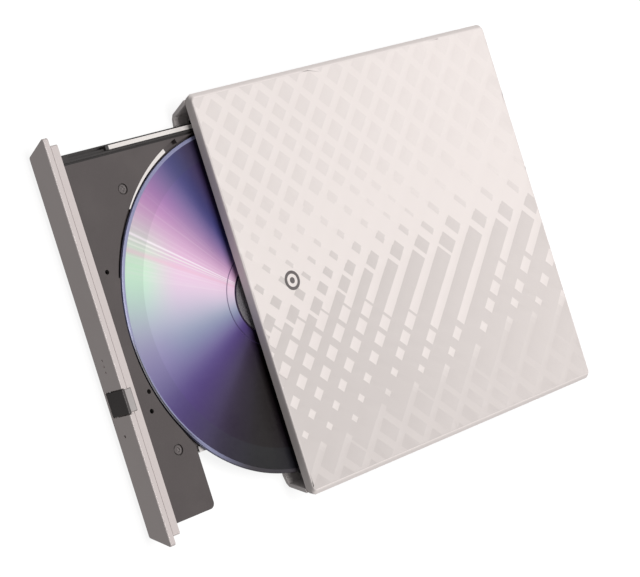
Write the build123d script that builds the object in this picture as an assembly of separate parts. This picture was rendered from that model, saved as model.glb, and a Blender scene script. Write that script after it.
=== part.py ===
from build123d import *
import math
import os

# External slim optical drive with its tray half open. Millimetres, +Z up, front towards -Y.
# The origin is under the middle of the whole object, on the surface that it stands on.

# Case
case_width = 141.0
case_depth = 152.0
case_height = 14.6
foot_height = 1.3
widest_z = 12.9           # height of the widest line round the case
parting_z = 10.7          # lower edge of the top cover
top_wall = 1.5
rim_width = 2.1           # the top cover's lower edge, along both sides and the back
side_wall = 1.2
parting_gap = 0.2

# Tray travel
tray_out = 59.7           # how far the tray stands out at rest
tray_gap = 0.3            # gap between the closed bezel flange and the case
rail_share = 0.75         # the slide rails move this share of the tray's travel

# Bezel
flange_thick = 2.0
flange_top_z = 11.9
flange_bottom_z = 1.9
flange_half_top = 68.3
flange_half_bottom = 63.8
bezel_depth = 3.9         # the part behind the flange, which fills the case mouth

# Disc and tray
disc_radius = 60.0
disc_hole_radius = 7.5
disc_thick = 1.2
disc_x = 2.3
disc_behind_datum = 70.2  # disc centre behind the case front when the tray is closed
disc_bottom_z = 7.2
recess_radius = 60.9
deck_z = 8.8
recess_floor_z = 6.5
recess_floor_thick = 1.0
tray_bottom_z = 4.0
tray_skin = 1.2
tray_left = -59.3
tray_right = 41.3
band_right = 61.9
band_end = 21.9
tray_length = 122.0

# Drive housing
housing_left = -63.2
housing_right = 63.5
housing_front = 5.5
housing_back = 134.5
housing_floor_z = 3.0
housing_top_z = 12.4
sheet = 0.5

# Places that follow from the sizes above
front_y = -(case_depth - tray_out - tray_gap - flange_thick) / 2
back_y = front_y + case_depth
tray_y = front_y - tray_out
floor_top_z = foot_height + side_wall
deck_under_z = deck_z - tray_skin
disc_y = tray_y + disc_behind_datum
disc_top_z = disc_bottom_z + disc_thick

# Pickup carriage: its own axes start at the spindle, with local X along the sled's travel
sled_angle = 225.0
lens_rest = 27.0
lens_nearest = 23.0
rod_offset = 17.0
rod_z = 5.9
rod_radius = 0.9
thin_rod_radius = 0.75
post_x = (13.5, 54.4)     # outer ends of the posts that hold the rods
traverse_place = Location((disc_x, disc_y, 0), (0, 0, sled_angle))

ALONG_X = (0, 90, 0)
ALONG_Y = (-90, 0, 0)
EAST_WEST = (-1, 1)


def block(x, y, z):
    """A box from three (low, high) pairs."""
    size = [high - low for low, high in (x, y, z)]
    middle = [(high + low) / 2 for low, high in (x, y, z)]
    return Pos(*middle) * Box(*size)


def upright(x, y, radius, z):
    """A cylinder along Z between two heights."""
    return Pos(x, y, (z[0] + z[1]) / 2) * Cylinder(radius, z[1] - z[0])


def level(place, radius, length, turn):
    """A lying cylinder centred on place."""
    return Location(place, turn) * Cylinder(radius, length)


def plate(points, z):
    """A plan outline of (x, y) points, from the first height to the second."""
    outline = Polyline(*[(x, y, z[0]) for x, y in points], close=True)
    return extrude(make_face(outline), z[1] - z[0], dir=(0, 0, 1))


def length_of(points, y):
    """A cross-section of (x, z) points, drawn out along Y."""
    outline = Polyline(*[(px, y[0], pz) for px, pz in points], close=True)
    return extrude(make_face(outline), y[1] - y[0], dir=(0, 1, 0))


def width_of(points, x):
    """A side outline of (y, z) points, drawn out along X."""
    outline = Polyline(*[(x[0], py, pz) for py, pz in points], close=True)
    return extrude(make_face(outline), x[1] - x[0], dir=(1, 0, 0))


def both_sides(points):
    """A right-hand half section, from top to bottom, closed by its mirror image."""
    return points + [(-x, z) for x, z in reversed(points)]


def turn_profile(points):
    """A (radius, z) profile turned about Z."""
    outline = Polyline(*[(r, 0, z) for r, z in points], close=True)
    return revolve(make_face(outline), Axis.Z)


def group(shapes):
    """Separate solids of one node."""
    return Compound(children=list(shapes))


def behind(distance):
    """Y of a place on the tray, given how far behind the case front it lies when closed."""
    return tray_y + distance


def inside(distance):
    """Y of a place in the case, given how far behind the case front it lies."""
    return front_y + distance


# ---- case ----

case_screw_spots = [(side * 58.0, back_y - 13.5) for side in EAST_WEST]
foot_spots = [(side * 52.0, y) for side in EAST_WEST for y in (inside(14), back_y - 26)]
usb_x = 38.0
usb_z = (5.2, 9.1)
board_z = (4.2, 5.2)
board_y = (inside(136.2), back_y - 5.8)
board_screw_spots = [(x, back_y - 11.0) for x in (-24.0, 50.0)]
catch_spots = (20.0, 75.0, 125.0)


def case_outline(inset, corner_front, corner_back, z):
    """The plan of the case with its rounded corners, as a tall block to cut shapes with."""
    half = case_width / 2 - inset
    body = block((-half, half), (front_y, back_y - inset), z)
    corners = body.edges().filter_by(Axis.Z).sort_by(Axis.Y)
    body = fillet(corners[:2], corner_front)
    corners = body.edges().filter_by(Axis.Z).sort_by(Axis.Y)
    return fillet(corners[-2:], corner_back)


def make_top_cover():
    half = case_width / 2
    section = both_sides([(half - 1.5, case_height), (half, widest_z), (half - 0.7, parting_z)])
    side = [
        (front_y, case_height),
        (back_y - 1.5, case_height),
        (back_y, widest_z),
        (back_y - 0.7, parting_z),
        (front_y, parting_z),
    ]
    z = (parting_z, case_height)
    shell = length_of(section, (front_y, back_y)) & width_of(side, (-half, half))
    shell = shell & case_outline(0, 1.2, 1.6, z)
    top_edges = shell.edges().group_by(Axis.Z)[-1]
    shell = fillet(top_edges, 0.4)
    ceiling = case_height - top_wall
    reach = half - rim_width
    hollow = block((-reach, reach), (inside(top_wall), back_y - rim_width), (parting_z - 1, ceiling))
    shell = shell - fillet(hollow.edges().filter_by(Axis.Z), 1.5)
    for x, y in case_screw_spots:
        shell = shell + upright(x, y, 2.3, (6.0, ceiling + 0.2))
        shell = shell - upright(x, y, 0.8, (5.0, 11.5))
    for side_sign in EAST_WEST:
        for distance in catch_spots:
            y = (inside(distance) - 4, inside(distance) + 4)
            tab = block((65.4, 66.4), y, (7.6, ceiling + 0.2))
            nib = block((66.3, 67.1), y, (7.6, 8.3))
            catch = tab + nib
            shell = shell + (catch if side_sign > 0 else mirror(catch, Plane.YZ))
    return shell


def bottom_section(inset, top):
    """Half section of the bottom cover, set in by a wall's thickness."""
    return [
        (69.2 - inset, top),
        (66.1 - inset * 0.95, 2.9 + inset * 0.25),
        (64.7 - inset * 0.6, 1.9 + inset * 0.75),
        (62.0 - inset * 0.2, foot_height + inset),
    ]


def bottom_side(inset, top, front):
    """Side outline of the bottom cover: upright at the front, shaped as the sides at the back."""
    shift = back_y - 70.5
    rear = [(x + shift, z) for x, z in bottom_section(inset, top)]
    return [(front, top)] + rear + [(front, foot_height + inset)]


def make_bottom_cover():
    top = parting_z - parting_gap
    half = case_width / 2
    outer = length_of(both_sides(bottom_section(0, top)), (front_y, back_y))
    outer = outer & width_of(bottom_side(0, top, front_y), (-half, half))
    outer = outer & case_outline(0.6, 0.8, 1.3, (0, top))
    inner = length_of(both_sides(bottom_section(side_wall, top + 1)), (front_y - 1, back_y))
    inner = inner & width_of(bottom_side(side_wall, top + 1, front_y - 1), (-half, half))
    shell = outer - inner
    tongue_x = half - 2.3
    tongue = block((-tongue_x, tongue_x), (inside(2), back_y - 2.3), (top - 0.8, top + 1.2))
    tongue = fillet(tongue.edges().filter_by(Axis.Z), 1.5)
    core = block((-tongue_x + 0.8, tongue_x - 0.8), (inside(0), back_y - 3.1), (top - 2, top + 2))
    shell = shell + (tongue - core)
    for x, y in foot_spots:
        shell = shell - upright(x, y, 5.1, (0, foot_height + 0.5))
    for x, y in case_screw_spots:
        shell = shell + upright(x, y, 3.0, (floor_top_z - 0.1, 5.8))
        shell = shell - upright(x, y, 2.1, (0, 2.9)) - upright(x, y, 1.15, (0, 7))
    for x, y in board_screw_spots:
        shell = shell + upright(x, y, 2.0, (floor_top_z - 0.1, board_z[0]))
        shell = shell - upright(x, y, 0.8, (2.0, 5))
    for x in (-45, -15, 15, 45):
        rib = block((x - 0.5, x + 0.5), (inside(8), inside(132)), (floor_top_z - 0.1, housing_floor_z))
        shell = shell + rib
    for row in range(8):
        slot = SlotOverall(34, 1.6).face()
        y = inside(52) + row * 5
        shell = shell - Pos(30, y, 0) * extrude(slot, 4)
    port = block((usb_x - 4.3, usb_x + 4.3), (back_y - 8, back_y + 1), (usb_z[0] - 0.3, usb_z[1] + 0.3))
    shell = shell - port
    for side_sign in EAST_WEST:
        for distance in catch_spots:
            window = block((65.2, 67.6), (inside(distance) - 4.4, inside(distance) + 4.4), (7.3, 8.6))
            shell = shell - (window if side_sign > 0 else mirror(window, Plane.YZ))
    return shell


def make_rubber_feet():
    feet = []
    for x, y in foot_spots:
        foot = upright(x, y, 5.0, (0, foot_height + 0.5))
        feet.append(fillet(foot.edges().group_by(Axis.Z)[0], 0.4))
    return group(feet)


def pan_screw(x, y, head_radius, head_z, shank_radius, shank_z):
    """A screw on the Z axis with a cross slot in its head."""
    screw = upright(x, y, head_radius, head_z) + upright(x, y, shank_radius, shank_z)
    outer = head_z[0] if head_z[0] < shank_z[0] else head_z[1]
    for turn in (0, 90):
        slot = Box(head_radius * 1.2, 0.35, 0.6)
        screw = screw - Location((x, y, outer), (0, 0, turn)) * slot
    return screw


def make_case_screws():
    screws = [pan_screw(x, y, 2.0, (1.5, 2.9), 0.8, (2.9, 11.0)) for x, y in case_screw_spots]
    return group(screws)


# ---- bridge board behind the drive ----


def make_bridge_board():
    board = block((-30, 54.5), board_y, board_z)
    for x, y in board_screw_spots:
        board = board - upright(x, y, 1.1, (3, 6))
    return board


def make_bridge_chips():
    """Controller chip, memory chip, crystal, regulator and a row of capacitors."""
    top = board_z[1]
    middle = (board_y[0] + board_y[1]) / 2 + 1.2
    parts = [
        block((2, 8), (middle - 3, middle + 3), (top, top + 1.1)),
        block((13, 17), (middle - 2.5, middle + 2.5), (top, top + 1.0)),
        block((20, 25), (middle - 1.3, middle + 1.3), (top, top + 1.4)),
        block((-14, -9), (middle - 2, middle + 2), (top, top + 1.3)),
    ]
    for count in range(5):
        x = -11 + count * 1.8
        parts.append(block((x - 0.5, x + 0.5), (middle - 4.4, middle - 3.4), (top, top + 0.7)))
    return group(parts)


def make_usb_socket():
    """Metal shell of a small five-pin inlet with its contact tongue."""
    y = (back_y - 12.4, back_y - 3.5)
    shell = block((usb_x - 3.85, usb_x + 3.85), y, usb_z)
    mouth = block((usb_x - 3.45, usb_x + 3.45), (y[0] + 1, y[1] + 1), (usb_z[0] + 0.4, usb_z[1] - 0.4))
    tongue = block((usb_x - 2.4, usb_x + 2.4), (y[0] + 0.9, y[1] - 1.5), (usb_z[1] - 1.9, usb_z[1] - 1.1))
    return shell - mouth + tongue


def make_board_screws():
    top = board_z[1]
    screws = [pan_screw(x, y, 1.9, (top, top + 1.1), 0.8, (2.6, top)) for x, y in board_screw_spots]
    return group(screws)


def make_sata_socket():
    """Receptacle on the bridge board that takes the drive's power and data plug."""
    body = block((-2, 30), (inside(135.2), inside(138.8)), (board_z[1], 8.6))
    body = body - block((-0.6, 28.6), (inside(135), inside(138.0)), (6.2, 7.7))
    return body


# ---- drive housing ----

guide_y = (inside(10), inside(131))
lid_screw_spots = [(side * 57.8, inside(130.8)) for side in EAST_WEST]


def make_lower_housing():
    left, right = housing_left, housing_right
    y = (inside(housing_front), inside(housing_back))
    pan = block((left, right), y, (housing_floor_z, housing_top_z - sheet))
    inner_y = (y[0] - 1, y[1] - sheet)
    pan = pan - block((left + sheet, right - sheet), inner_y, (housing_floor_z + sheet, housing_top_z + 1))
    pan = pan - block((-1.2, 29.2), (y[1] - 1, y[1] + 1), (5.2, 8.6))
    for x, y_spot in lid_screw_spots:
        pan = pan + upright(x, y_spot, 1.8, (housing_floor_z + 0.1, housing_top_z - sheet))
        pan = pan - upright(x, y_spot, 0.7, (8, housing_top_z))
    for x in (-38, 0, 24):
        for distance in (60, 90):
            slot = SlotOverall(12, 3).face()
            pan = pan - Pos(x, inside(distance), 2) * extrude(slot, 2)
    return pan


def make_upper_housing():
    left, right = housing_left - 0.5, housing_right + 0.5
    y = (inside(housing_front), inside(housing_back) + 0.5)
    lid = block((left, right), y, (8.4, housing_top_z))
    hollow = block((left + 0.4, right - 0.4), (y[0] - 1, y[1] - 0.4), (8, housing_top_z - sheet))
    lid = lid - hollow
    lid = lid - block((-3, 31), (y[1] - 1, y[1] + 1), (8, 9.2))
    for x, y_spot in lid_screw_spots:
        lid = lid - upright(x, y_spot, 0.9, (11, 13))
    ring = turn_profile([(50, 12.2), (50, 12.65), (54, 12.65), (54, 12.2)])
    return lid + Pos(disc_x, inside(disc_behind_datum), 0) * ring


def make_lid_screws():
    z = housing_top_z
    screws = [pan_screw(x, y, 1.6, (z, z + 0.5), 0.7, (9.5, z)) for x, y in lid_screw_spots]
    return group(screws)


def make_left_guide():
    section = [
        (-62.6, 3.6), (-60.2, 3.6), (-60.2, 4.3), (-61.9, 4.3),
        (-61.9, 8.8), (-60.2, 8.8), (-60.2, 9.5), (-62.6, 9.5),
    ]
    return length_of(section, guide_y)


def make_right_guide():
    section = [
        (45.3, 3.6), (42.3, 3.6), (42.3, 4.05), (44.0, 4.05),
        (44.0, 6.45), (42.3, 6.45), (42.3, 6.9), (45.3, 6.9),
    ]
    return length_of(section, guide_y)


def make_drive_board():
    board = block((46.5, 62), (inside(30), inside(127)), (3.9, 4.7))
    for distance in (36, 80, 121):
        board = board + upright(54, inside(distance), 1.5, (housing_floor_z + sheet, 4.0))
    return board


def make_drive_chips():
    """Servo controller, motor driver, memory and capacitors."""
    top = 4.7
    parts = [
        block((48, 60), (inside(52), inside(64)), (top, top + 1.2)),
        block((49, 59), (inside(86), inside(96)), (top, top + 1.2)),
        block((50, 56), (inside(70), inside(80)), (top, top + 1.0)),
    ]
    for count in range(6):
        y = inside(102) + count * 3
        parts.append(block((49, 50.6), (y, y + 0.9), (top, top + 0.8)))
        parts.append(block((57, 58.6), (y, y + 0.9), (top, top + 0.8)))
    return group(parts)


def make_drive_plug():
    """Power and data plug in the drive's rear wall, with its blade towards the bridge board."""
    body = block((-1, 29), (inside(130.8), inside(134.2)), (5.3, 8.5))
    blade = block((0, 28), (inside(134.1), inside(137.6)), (6.5, 7.4))
    return body + blade


def make_latch_post():
    """Turned post on the housing floor that the tray's latch hooks behind."""
    x, y = 56.0, inside(17.6)
    foot = upright(x, y, 1.8, (housing_floor_z + sheet, 3.9))
    return foot + upright(x, y, 1.0, (3.9, 6.6))


# ---- ejector at the rear ----

ejector_x = -52.0
ejector_z = 6.2


def make_ejector_rod():
    middle = inside(119.5)
    rod = level((ejector_x, middle, ejector_z), 0.9, 11.0, ALONG_Y)
    collar = level((ejector_x, inside(118.6), ejector_z), 1.3, 0.8, ALONG_Y)
    return rod + collar


def make_ejector_spring():
    """Sleeve that the coil spring fills round the rod."""
    length = 14.8
    middle = inside(118.9 + length / 2)
    sleeve = level((ejector_x, middle, ejector_z), 2.0, length, ALONG_Y)
    return sleeve - level((ejector_x, middle, ejector_z), 1.5, length + 1, ALONG_Y)


# ---- slide rails ----

rail_y = (inside(-35), inside(81))


def make_left_rail():
    section = [
        (-61.0, 5.4), (-59.6, 5.4), (-59.6, 5.8), (-60.6, 5.8),
        (-60.6, 8.1), (-59.6, 8.1), (-59.6, 8.5), (-61.0, 8.5),
    ]
    return length_of(section, rail_y)


def make_rail_buffer():
    """Moulded stop on the front end of the left rail, open for the tray's tongue."""
    section = [
        (-61.1, 5.3), (-59.6, 5.3), (-59.6, 6.05), (-60.45, 6.05),
        (-60.45, 7.85), (-59.6, 7.85), (-59.6, 8.6), (-61.1, 8.6),
    ]
    return length_of(section, (rail_y[0] - 1.3, rail_y[0]))


def make_right_rail():
    section = [
        (43.6, 4.3), (41.6, 4.3), (41.6, 4.7), (43.2, 4.7),
        (43.2, 5.9), (41.6, 5.9), (41.6, 6.3), (43.6, 6.3),
    ]
    return length_of(section, rail_y)


# ---- tray ----

tray_screw_spots = [(-46.0, behind(25.0)), (40.0, behind(14.5))]
deck_hole_spots = [(-21.6, behind(8.6)), (19.0, behind(10.2)), (25.3, behind(8.9))]
button_x = (15.4, 23.5)
button_middle = sum(button_x) / 2
stem_z = 6.3
pinhole_x = 30.2
pinhole_z = 6.0
dimple_spots = (4.9, 6.9, 8.9)
dimple_z = 6.5
latch_x = 54.0
latch_y = behind(8.6)
latch_reach = 9.0
latch_release = 17.0
ear_end = 7.4             # the ear at the tray's front left corner ends here
pad_ends = (202.5, 227.3)
pad_lean = 160.0          # direction in which the pad's outer edge bulges from the disc's axis
pad_bottom_z = 8.0


def tray_outline(inset):
    """Plan of the tray's walls, set in by a wall's thickness."""
    return [
        (tray_left + inset, behind(bezel_depth + inset)),
        (band_right - inset, behind(bezel_depth + inset)),
        (band_right - inset, behind(band_end - inset)),
        (tray_right - inset, behind(band_end - inset)),
        (tray_right - inset, behind(tray_length - inset)),
        (tray_left + inset, behind(tray_length - inset)),
    ]


def make_tray():
    body = plate(tray_outline(0), (tray_bottom_z, deck_z))
    corner = body.edges().filter_by(Axis.Z).sort_by(Axis.X)[-2:]
    body = fillet(corner.sort_by(Axis.Y)[-1], 2.0)
    well = upright(disc_x, disc_y, recess_radius, (recess_floor_z, deck_z + 1))
    well_wall = upright(disc_x, disc_y, recess_radius + tray_skin, (0, 20))
    under = plate(tray_outline(tray_skin), (tray_bottom_z - 1, deck_under_z))
    shallow = plate(tray_outline(tray_skin), (tray_bottom_z - 1, recess_floor_z - recess_floor_thick))
    body = body - well - (under - well_wall) - shallow
    overhang = [
        (30, behind(16)), (36.5, behind(19.5)), (41.0, behind(band_end)),
        (75, behind(band_end)), (75, behind(130)), (30, behind(130)),
    ]
    body = body - plate(overhang, (recess_floor_z, deck_z + 1))
    body = body + block((-61.2, tray_left + 0.5), (behind(bezel_depth), behind(ear_end)), (4.6, deck_z))
    ledge_y = (behind(ear_end), behind(tray_length))
    body = body + block((-61.7, tray_left + 0.2), ledge_y, (4.6, 5.1))
    body = body + block((-60.3, tray_left + 0.2), ledge_y, (6.3, 7.6))
    body = body - block((-58.65, -57.95), (behind(4.6), behind(130)), (deck_z - 0.9, deck_z + 1))
    notch = block((tray_right, 46.1), (behind(5.1), behind(band_end + 1)), (tray_bottom_z - 1, 7.4))
    for x, y in tray_screw_spots:
        body = body + upright(x, y, 2.2, (tray_bottom_z, deck_under_z + 0.1))
    body = body - notch
    body = body + block((tray_right - 0.2, 42.5), (behind(bezel_depth + 0.5), behind(tray_length)), (5.0, 5.6))
    for x, y in tray_screw_spots:
        body = body - upright(x, y, 1.9, (deck_z - 0.6, deck_z + 1)) - upright(x, y, 0.8, (4.4, 9))
    for x, y in deck_hole_spots:
        body = body - upright(x, y, 0.8, (deck_under_z - 1, deck_z + 1))
    for x, half in (((-22, 52.5), 25.5), ((45, 55), 20.0), ((45, 59), 14.5)):
        window = block(x, (-half, half), (3, 7))
        window = fillet(window.edges().filter_by(Axis.Z), 1.0)
        body = body - traverse_place * window
    body = body - block((ejector_x - 2.6, ejector_x + 2.6), (behind(113.6), behind(130)), (3, deck_z + 1))
    pin = upright(latch_x, latch_y, 1.6, (6.5, deck_under_z + 0.1)) + upright(latch_x, latch_y, 0.8, (4.9, 7))
    body = body + pin
    stem_way = block((button_x[0] + 1, button_x[1] - 1), (behind(3), behind(6)), (4.4, 7.4))
    body = body - stem_way - block((50, 60), (behind(20), behind(23)), (tray_bottom_z - 1, 7.2))
    body = body - level((pinhole_x, behind(5), pinhole_z), 0.7, 6, ALONG_Y)
    seat_z, deep_z = (pad_bottom_z, deck_z + 1), (recess_floor_z, deck_z + 1)
    body = body - (pad_disk(0.03, seat_z) & disc_sector(pad_ends, seat_z))
    body = body - (pad_disk(0, deep_z) & disc_sector((196.5, pad_ends[0]), deep_z))
    return body - (upright(disc_x, disc_y, 61.6, deep_z) & disc_sector((pad_ends[1], 250), deep_z))


def disc_sector(ends, z):
    """A slice about the disc's axis between two directions, reaching past the recess."""
    spread = [(disc_x, disc_y)]
    for turn in (ends[0], sum(ends) / 2, ends[1]):
        angle = math.radians(turn)
        spread.append((disc_x + 70 * math.cos(angle), disc_y + 70 * math.sin(angle)))
    return plate(spread, z)


def pad_disk(gap, z):
    """Its edge is the pad's outer edge, which leans away from the recess."""
    lean = math.radians(pad_lean)
    return upright(disc_x + 2.7 * math.cos(lean), disc_y + 2.7 * math.sin(lean), 60.36 + gap, z)


def make_rest_pad():
    """White crescent let into the deck beside the recess, flush with the deck."""
    z = (pad_bottom_z, deck_z)
    pad = pad_disk(0, z) & disc_sector(pad_ends, z)
    return pad - upright(disc_x, disc_y, recess_radius + 0.05, (z[0] - 1, z[1] + 1))


def make_tray_plate():
    """Thin steel cover over the tray's underside."""
    left, right = tray_left + 0.4, tray_right - 0.6
    cover = block((left, right), (behind(4.4), behind(112.5)), (3.7, tray_bottom_z))
    for row in range(6):
        slot = SlotOverall(16, 2).face()
        cover = cover - Pos(-30, behind(60) + row * 7, 3) * extrude(slot, 2)
    for x, y in tray_screw_spots:
        cover = cover - upright(x, y, 0.9, (3, 5))
    return cover


def make_tray_screws():
    z = deck_z
    screws = [pan_screw(x, y, 1.6, (z - 0.6, z - 0.1), 0.75, (4.6, z - 0.6)) for x, y in tray_screw_spots]
    return group(screws)


def make_front_bezel():
    y = (behind(-tray_gap - flange_thick), behind(-tray_gap))
    face = both_sides([(flange_half_top, flange_top_z), (flange_half_bottom, flange_bottom_z)])
    flange = length_of(face, y)
    flange = fillet(flange.edges().filter_by(Axis.Y), 0.9)
    flange = fillet(flange.edges().group_by(Axis.Y)[0], 0.35)
    plug_y = (y[1] - 0.2, behind(bezel_depth))
    plug = length_of(both_sides([(65.5, 10.2), (62.6, 3.0)]), plug_y)
    plug = fillet(plug.edges().filter_by(Axis.Y), 0.6)
    hollow = length_of(both_sides([(64.0, 9.0), (61.6, 4.2)]), (behind(1.2), behind(bezel_depth) + 1))
    plug = plug - hollow - block((-66, 66), (behind(0.9), behind(1.15)), (9.95, 10.4))
    for x in (-50, -20, 45):
        plug = plug + block((x - 0.6, x + 0.6), (behind(1.0), behind(bezel_depth)), (4.0, 9.2))
    bezel = flange + plug
    slot = block((button_x[0] - 0.3, button_x[1] + 0.3), (y[0] - 1, behind(-0.3)), (2.9, flange_top_z + 1))
    bezel = bezel - slot
    pipe_slot = block((button_x[0] + 0.2, button_x[1] - 0.2), (y[1] - 0.5, behind(2.5)), (9.2, 11))
    leg_slot = block((button_x[0] + 0.5, button_x[0] + 2.3), (behind(1.2), behind(2.6)), (7, 10))
    bezel = bezel - pipe_slot - leg_slot
    stem = level((button_middle, behind(0), stem_z), 1.1, 6, ALONG_Y)
    for x in dimple_spots:
        bezel = bezel - level((x, y[0], dimple_z), 0.38, 0.8, ALONG_Y)
    return bezel - stem - level((pinhole_x, behind(0), pinhole_z), 0.5, 8, ALONG_Y)


def make_eject_button():
    y = (behind(-tray_gap - flange_thick), behind(-tray_gap) - 0.95)
    cap = block(button_x, y, (3.1, flange_top_z - 0.1))
    cap = fillet(cap.edges().group_by(Axis.Y)[0], 0.3)
    stem = level((button_middle, behind(1.4), stem_z), 0.9, 5.4, ALONG_Y)
    return cap + stem


def make_light_pipe():
    """Clear bar on top of the bezel, behind the button, lit from the switch board."""
    x = (button_x[0] + 0.4, button_x[1] - 0.4)
    bar = block(x, (behind(-0.2), behind(2.4)), (9.3, 10.15))
    leg = block((x[0] + 0.3, x[0] + 1.7), (behind(1.4), behind(2.4)), (7.4, 9.4))
    return bar + leg


def make_switch_board():
    """Small board under the deck with the eject switch and the lamp."""
    board = block((9, 29), (behind(6.2), behind(14)), (4.6, 5.4))
    switch = block((17, 22), (behind(6.0), behind(9.5)), (5.4, 7.3))
    plunger = level((button_middle, behind(5.55), stem_z), 0.6, 1.1, ALONG_Y)
    lamp = block((15.9, 16.9), (behind(6.2), behind(7.4)), (5.4, 6.2))
    return board + switch + plunger + lamp


def make_latch_lever():
    """Hook lever, drawn released: turned clear of the post, about its pin on the tray."""
    z = (5.2, 6.2)
    arm = block((-1.1, 0.7), (0, latch_reach + 2.6), z)
    hook = block((-1.1, 2.8), (latch_reach + 1.4, latch_reach + 2.6), z)
    tail = block((-6.4, 0), (-1.2, 1.2), z)
    lever = arm + hook + tail + upright(0, 0, 2.4, z) - upright(0, 0, 0.85, (4, 7))
    return Location((latch_x, latch_y, 0), (0, 0, latch_release)) * lever


def make_latch_solenoid():
    y = behind(16)
    frame_block = block((46.3, 49.3), (y - 3.5, y + 3.5), (4.3, 7.3))
    coil_gap = block((46.9, 48.7), (y - 2.6, y + 2.6), (4.0, 8.0))
    coil = level((47.8, y, 5.8), 0.8, 5.2, ALONG_Y)
    return frame_block - coil_gap + coil


# ---- pickup carriage, in its own axes ----

damper_spots = [(-20, -21), (-20, 21), (50, -22), (50, 22)]
screw_y = 22.0            # lead screw, beside the guide rod
screw_z = 5.7


def carriage(shape):
    return traverse_place * shape


def make_traverse_frame():
    plate_z = (4.1, 4.7)
    frame = fillet(block((-25, 56), (-27, 27), plate_z).edges().filter_by(Axis.Z), 5)
    frame = frame - upright(0, 0, 13.0, (3, 6))
    frame = frame - fillet(block((16.5, 50), (-14.5, 14.5), (3, 6)).edges().filter_by(Axis.Z), 2)
    for x in ((post_x[0], post_x[0] + 1.8), (post_x[1] - 1.8, post_x[1])):
        for y in (-rod_offset, rod_offset):
            frame = frame + block(x, (y - 1.8, y + 1.8), (4.6, 6.4))
    for y, radius in ((rod_offset, rod_radius), (-rod_offset, thin_rod_radius)):
        frame = frame - level((sum(post_x) / 2, y, rod_z), radius, 46, ALONG_X)
    for x, y in damper_spots:
        frame = frame - upright(x, y, 1.6, (3, 6))
    return carriage(frame)


def make_dampers():
    rings = [upright(x, y, 1.6, (4.1, 4.9)) - upright(x, y, 0.9, (4, 6)) for x, y in damper_spots]
    return group(carriage(ring) for ring in rings)


def make_guide_rods():
    middle = sum(post_x) / 2
    length = post_x[1] - post_x[0]
    main = level((middle, rod_offset, rod_z), rod_radius, length, ALONG_X)
    second = level((middle, -rod_offset, rod_z), thin_rod_radius, length, ALONG_X)
    return group([carriage(main), carriage(second)])


def make_sled_motor():
    can = block((8.5, 18), (screw_y - 2.8, screw_y + 2.8), (4.75, 6.85))
    can = fillet(can.edges().filter_by(Axis.X), 0.9)
    return carriage(can)


def make_lead_screw():
    shaft = level((35, screw_y, screw_z), 0.55, 33.6, ALONG_X)
    for count in range(14):
        shaft = shaft + level((21 + count * 2, screw_y, screw_z), 0.8, 1.0, ALONG_X)
    return carriage(shaft)


def make_motor_base():
    base = upright(0, 0, 15.0, (4.7, 5.0)) + upright(0, 0, 2.4, (4.9, 6.2))
    return carriage(base - upright(0, 0, 1.03, (5.0, 7)))


def make_stator():
    teeth = upright(0, 0, 5.0, (5.15, 5.95))
    for count in range(9):
        turn = Location((0, 0, 0), (0, 0, count * 40))
        teeth = teeth + turn * block((4, 11), (-0.7, 0.7), (5.15, 5.95))
        teeth = teeth + turn * block((10.2, 11.4), (-2.6, 2.6), (5.15, 5.95))
    return carriage(teeth - upright(0, 0, 2.45, (5, 7)))


def make_pickup():
    """Optics block on the two rods, with a half nut over the lead screw."""
    x = lens_rest
    body = block((x - 11, x + 4.5), (-13.5, 13.5), (4.9, 6.8))
    body = fillet(body.edges().filter_by(Axis.Z), 1.5)
    wide = block((x - 7, x - 1), (-19, 19), (4.9, 6.9))
    body = body + wide - block((x - 5.2, x + 3.4), (-5, 5), (5.5, 8))
    body = body - upright(x - lens_nearest, 0, 15.4, (4, 8))
    body = body - level((x, rod_offset, rod_z), rod_radius + 0.05, 30, ALONG_X)
    body = body - level((x, -rod_offset, rod_z), thin_rod_radius + 0.1, 30, ALONG_X)
    nut = block((x - 4.8, x - 1), (18.8, screw_y + 0.8), (6.6, 6.9))
    return carriage(body + nut)


def make_lens_holder():
    x = lens_rest
    holder = block((x - 4.2, x + 2.8), (-3.5, 3.5), (5.9, 6.75))
    holder = fillet(holder.edges().filter_by(Axis.Z), 0.8)
    return carriage(holder - upright(x, 0, 2.0, (5, 7)))


def make_lens():
    dome = turn_profile([(0, 6.1), (2.0, 6.1), (2.0, 6.5), (1.2, 6.75), (0, 6.85)])
    return carriage(Pos(lens_rest, 0, 0) * dome)


# ---- spindle and disc, about the disc's axis ----


def on_spindle(shape):
    return Pos(disc_x, disc_y, 0) * shape


def make_rotor():
    """Turned cup, shaft and centring hub."""
    profile = [
        (0, 5.2), (1.0, 5.2), (1.0, 6.3), (12.2, 6.3), (12.2, 5.3), (13.0, 5.3),
        (13.0, 6.5), (14.5, 6.6), (14.5, 6.9), (7.35, 6.9), (7.35, 8.5), (6.6, 8.95),
        (3.0, 9.1), (2.6, 8.7), (0, 8.7),
    ]
    hub = turn_profile(profile)
    for count in range(3):
        turn = Location((0, 0, 0), (0, 0, 120 * count))
        hub = hub - turn * (Pos(6.5, 0, 8.45) * Sphere(0.75))
    return on_spindle(hub)


def make_hub_balls():
    balls = []
    for count in range(3):
        turn = Location((0, 0, 0), (0, 0, 120 * count))
        balls.append(on_spindle(turn * (Pos(6.5, 0, 8.45) * Sphere(0.7))))
    return group(balls)


def make_turntable_pad():
    return on_spindle(upright(0, 0, 14.2, (6.9, disc_bottom_z)) - upright(0, 0, 10.5, (6, 8)))


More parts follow.
